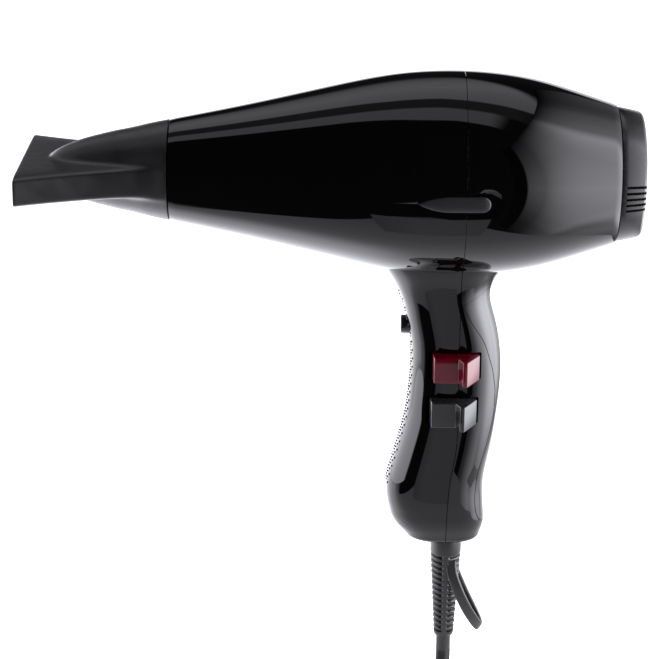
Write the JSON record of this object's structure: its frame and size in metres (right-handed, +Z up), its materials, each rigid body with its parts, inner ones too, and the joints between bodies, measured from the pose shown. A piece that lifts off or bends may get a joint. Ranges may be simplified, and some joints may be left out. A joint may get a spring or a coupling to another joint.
{
  "type": "hair dryer",
  "caption": "Hand-held hair dryer with a tapered barrel, flat concentrator nozzle, contoured handle, side rocker switches, cool-shot button and coiled mains cord.",
  "frame": {"origin": "middle of the grip, where a hand holds the handle, 112 mm below the barrel's axis", "axes": "+X along the barrel towards the air inlet, so the air leaves towards -X; +Z up from the handle to the barrel; the switches are on the -Y side"},
  "size_m": [0.2813, 0.0938, 0.4467],
  "materials": {
    "gloss_black": "high gloss moulded plastic",
    "satin_black": "satin heat-resistant plastic",
    "cap_grey": "satin",
    "rocker_red": "glossy",
    "rocker_grey": "glossy",
    "rubber_black": "matte moulded",
    "cord_black": "satin sheath",
    "steel": "plain",
    "brass": "plain",
    "copper": "enamelled winding wire",
    "mica": "layered mica",
    "carbon": "sintered carbon",
    "inner_white": "heat-resistant moulding",
    "tie_strap": "hook-and-loop strap"
  },
  "bodies": {
    "dryer": {"front_housing": "gloss_black", "rear_housing": "gloss_black", "handle_back_cover": "gloss_black", "side_cap_left": "cap_grey", "side_cap_right": "cap_grey", "outlet_grille": "steel", "motor_carrier": "inner_white", "air_funnel": "inner_white", "heater_front_ring": "inner_white", "heater_sleeve": "mica", "mica_board_upright": "mica", "mica_board_level": "mica", "heating_coil_front": "steel", "heating_coil_rear": "steel", "thermostat": "steel", "thermal_fuse": "steel", "stator_core": "steel", "field_coil_upper": "copper", "field_coil_lower": "copper", "motor_bracket_front": "steel", "motor_bracket_rear": "steel", "bearing_front": "brass", "bearing_rear": "brass", "carbon_brush_left": "carbon", "carbon_brush_right": "carbon", "brush_holder_left": "brass", "brush_holder_right": "brass", "heat_rocker_pin": "steel", "speed_rocker_pin": "steel", "heat_switch_body": "satin_black", "speed_switch_body": "satin_black", "cool_shot_switch": "satin_black", "cool_shot_spring": "steel", "housing_screw_upper": "steel", "housing_screw_lower": "steel", "strain_relief_sleeve": "rubber_black", "hang_loop": "rubber_black", "cord_clamp_front": "satin_black", "cord_clamp_rear": "satin_black", "clamp_screw_left": "steel", "clamp_screw_right": "steel", "cord_lead": "cord_black", "cord_coil": "cord_black", "cord_tail": "cord_black", "cord_tie": "tie_strap", "plug_body": "rubber_black", "plug_pin_left": "brass", "plug_pin_right": "brass"},
    "nozzle": {"concentrator_nozzle": "satin_black"},
    "rear_cap": {"rear_cap": "satin_black", "inlet_grille": "satin_black", "filter_screen": "steel"},
    "rotor": {"motor_shaft": "steel", "armature_core": "steel", "commutator": "copper", "fan_impeller": "satin_black", "fan_nut": "brass"},
    "heat_rocker": {"heat_rocker": "rocker_red"},
    "speed_rocker": {"speed_rocker": "rocker_grey"},
    "cool_shot_button": {"cool_shot_button": "gloss_black"}
  },
  "joints": [
    {"name": "nozzle_turn", "type": "hinge", "parent": "dryer", "child": "nozzle", "pos_m": [-0.132, 0, 0.112], "axis": [1, 0, 0], "continuous": true},
    {"name": "rear_cap_pull", "type": "slide", "parent": "dryer", "child": "rear_cap", "axis": [1, 0, 0], "range_m": [0, 0.02]},
    {"name": "motor_spin", "type": "hinge", "parent": "dryer", "child": "rotor", "pos_m": [0, 0, 0.112], "axis": [1, 0, 0], "continuous": true},
    {"name": "heat_rocker_tilt", "type": "hinge", "parent": "dryer", "child": "heat_rocker", "pos_m": [-0.0004, -0.0132, 0.0226], "axis": [0, 0, -1], "range_deg": [0, 22]},
    {"name": "speed_rocker_tilt", "type": "hinge", "parent": "dryer", "child": "speed_rocker", "pos_m": [-0.0012, -0.0132, 0.0002], "axis": [0, 0, -1], "range_deg": [0, 22]},
    {"name": "cool_shot_press", "type": "slide", "parent": "dryer", "child": "cool_shot_button", "axis": [1, 0, 0], "range_m": [0, 0.0023], "stiffness_N_per_m": 600, "springref_m": -0.001, "deforming": ["cool_shot_spring"]}
  ]
}
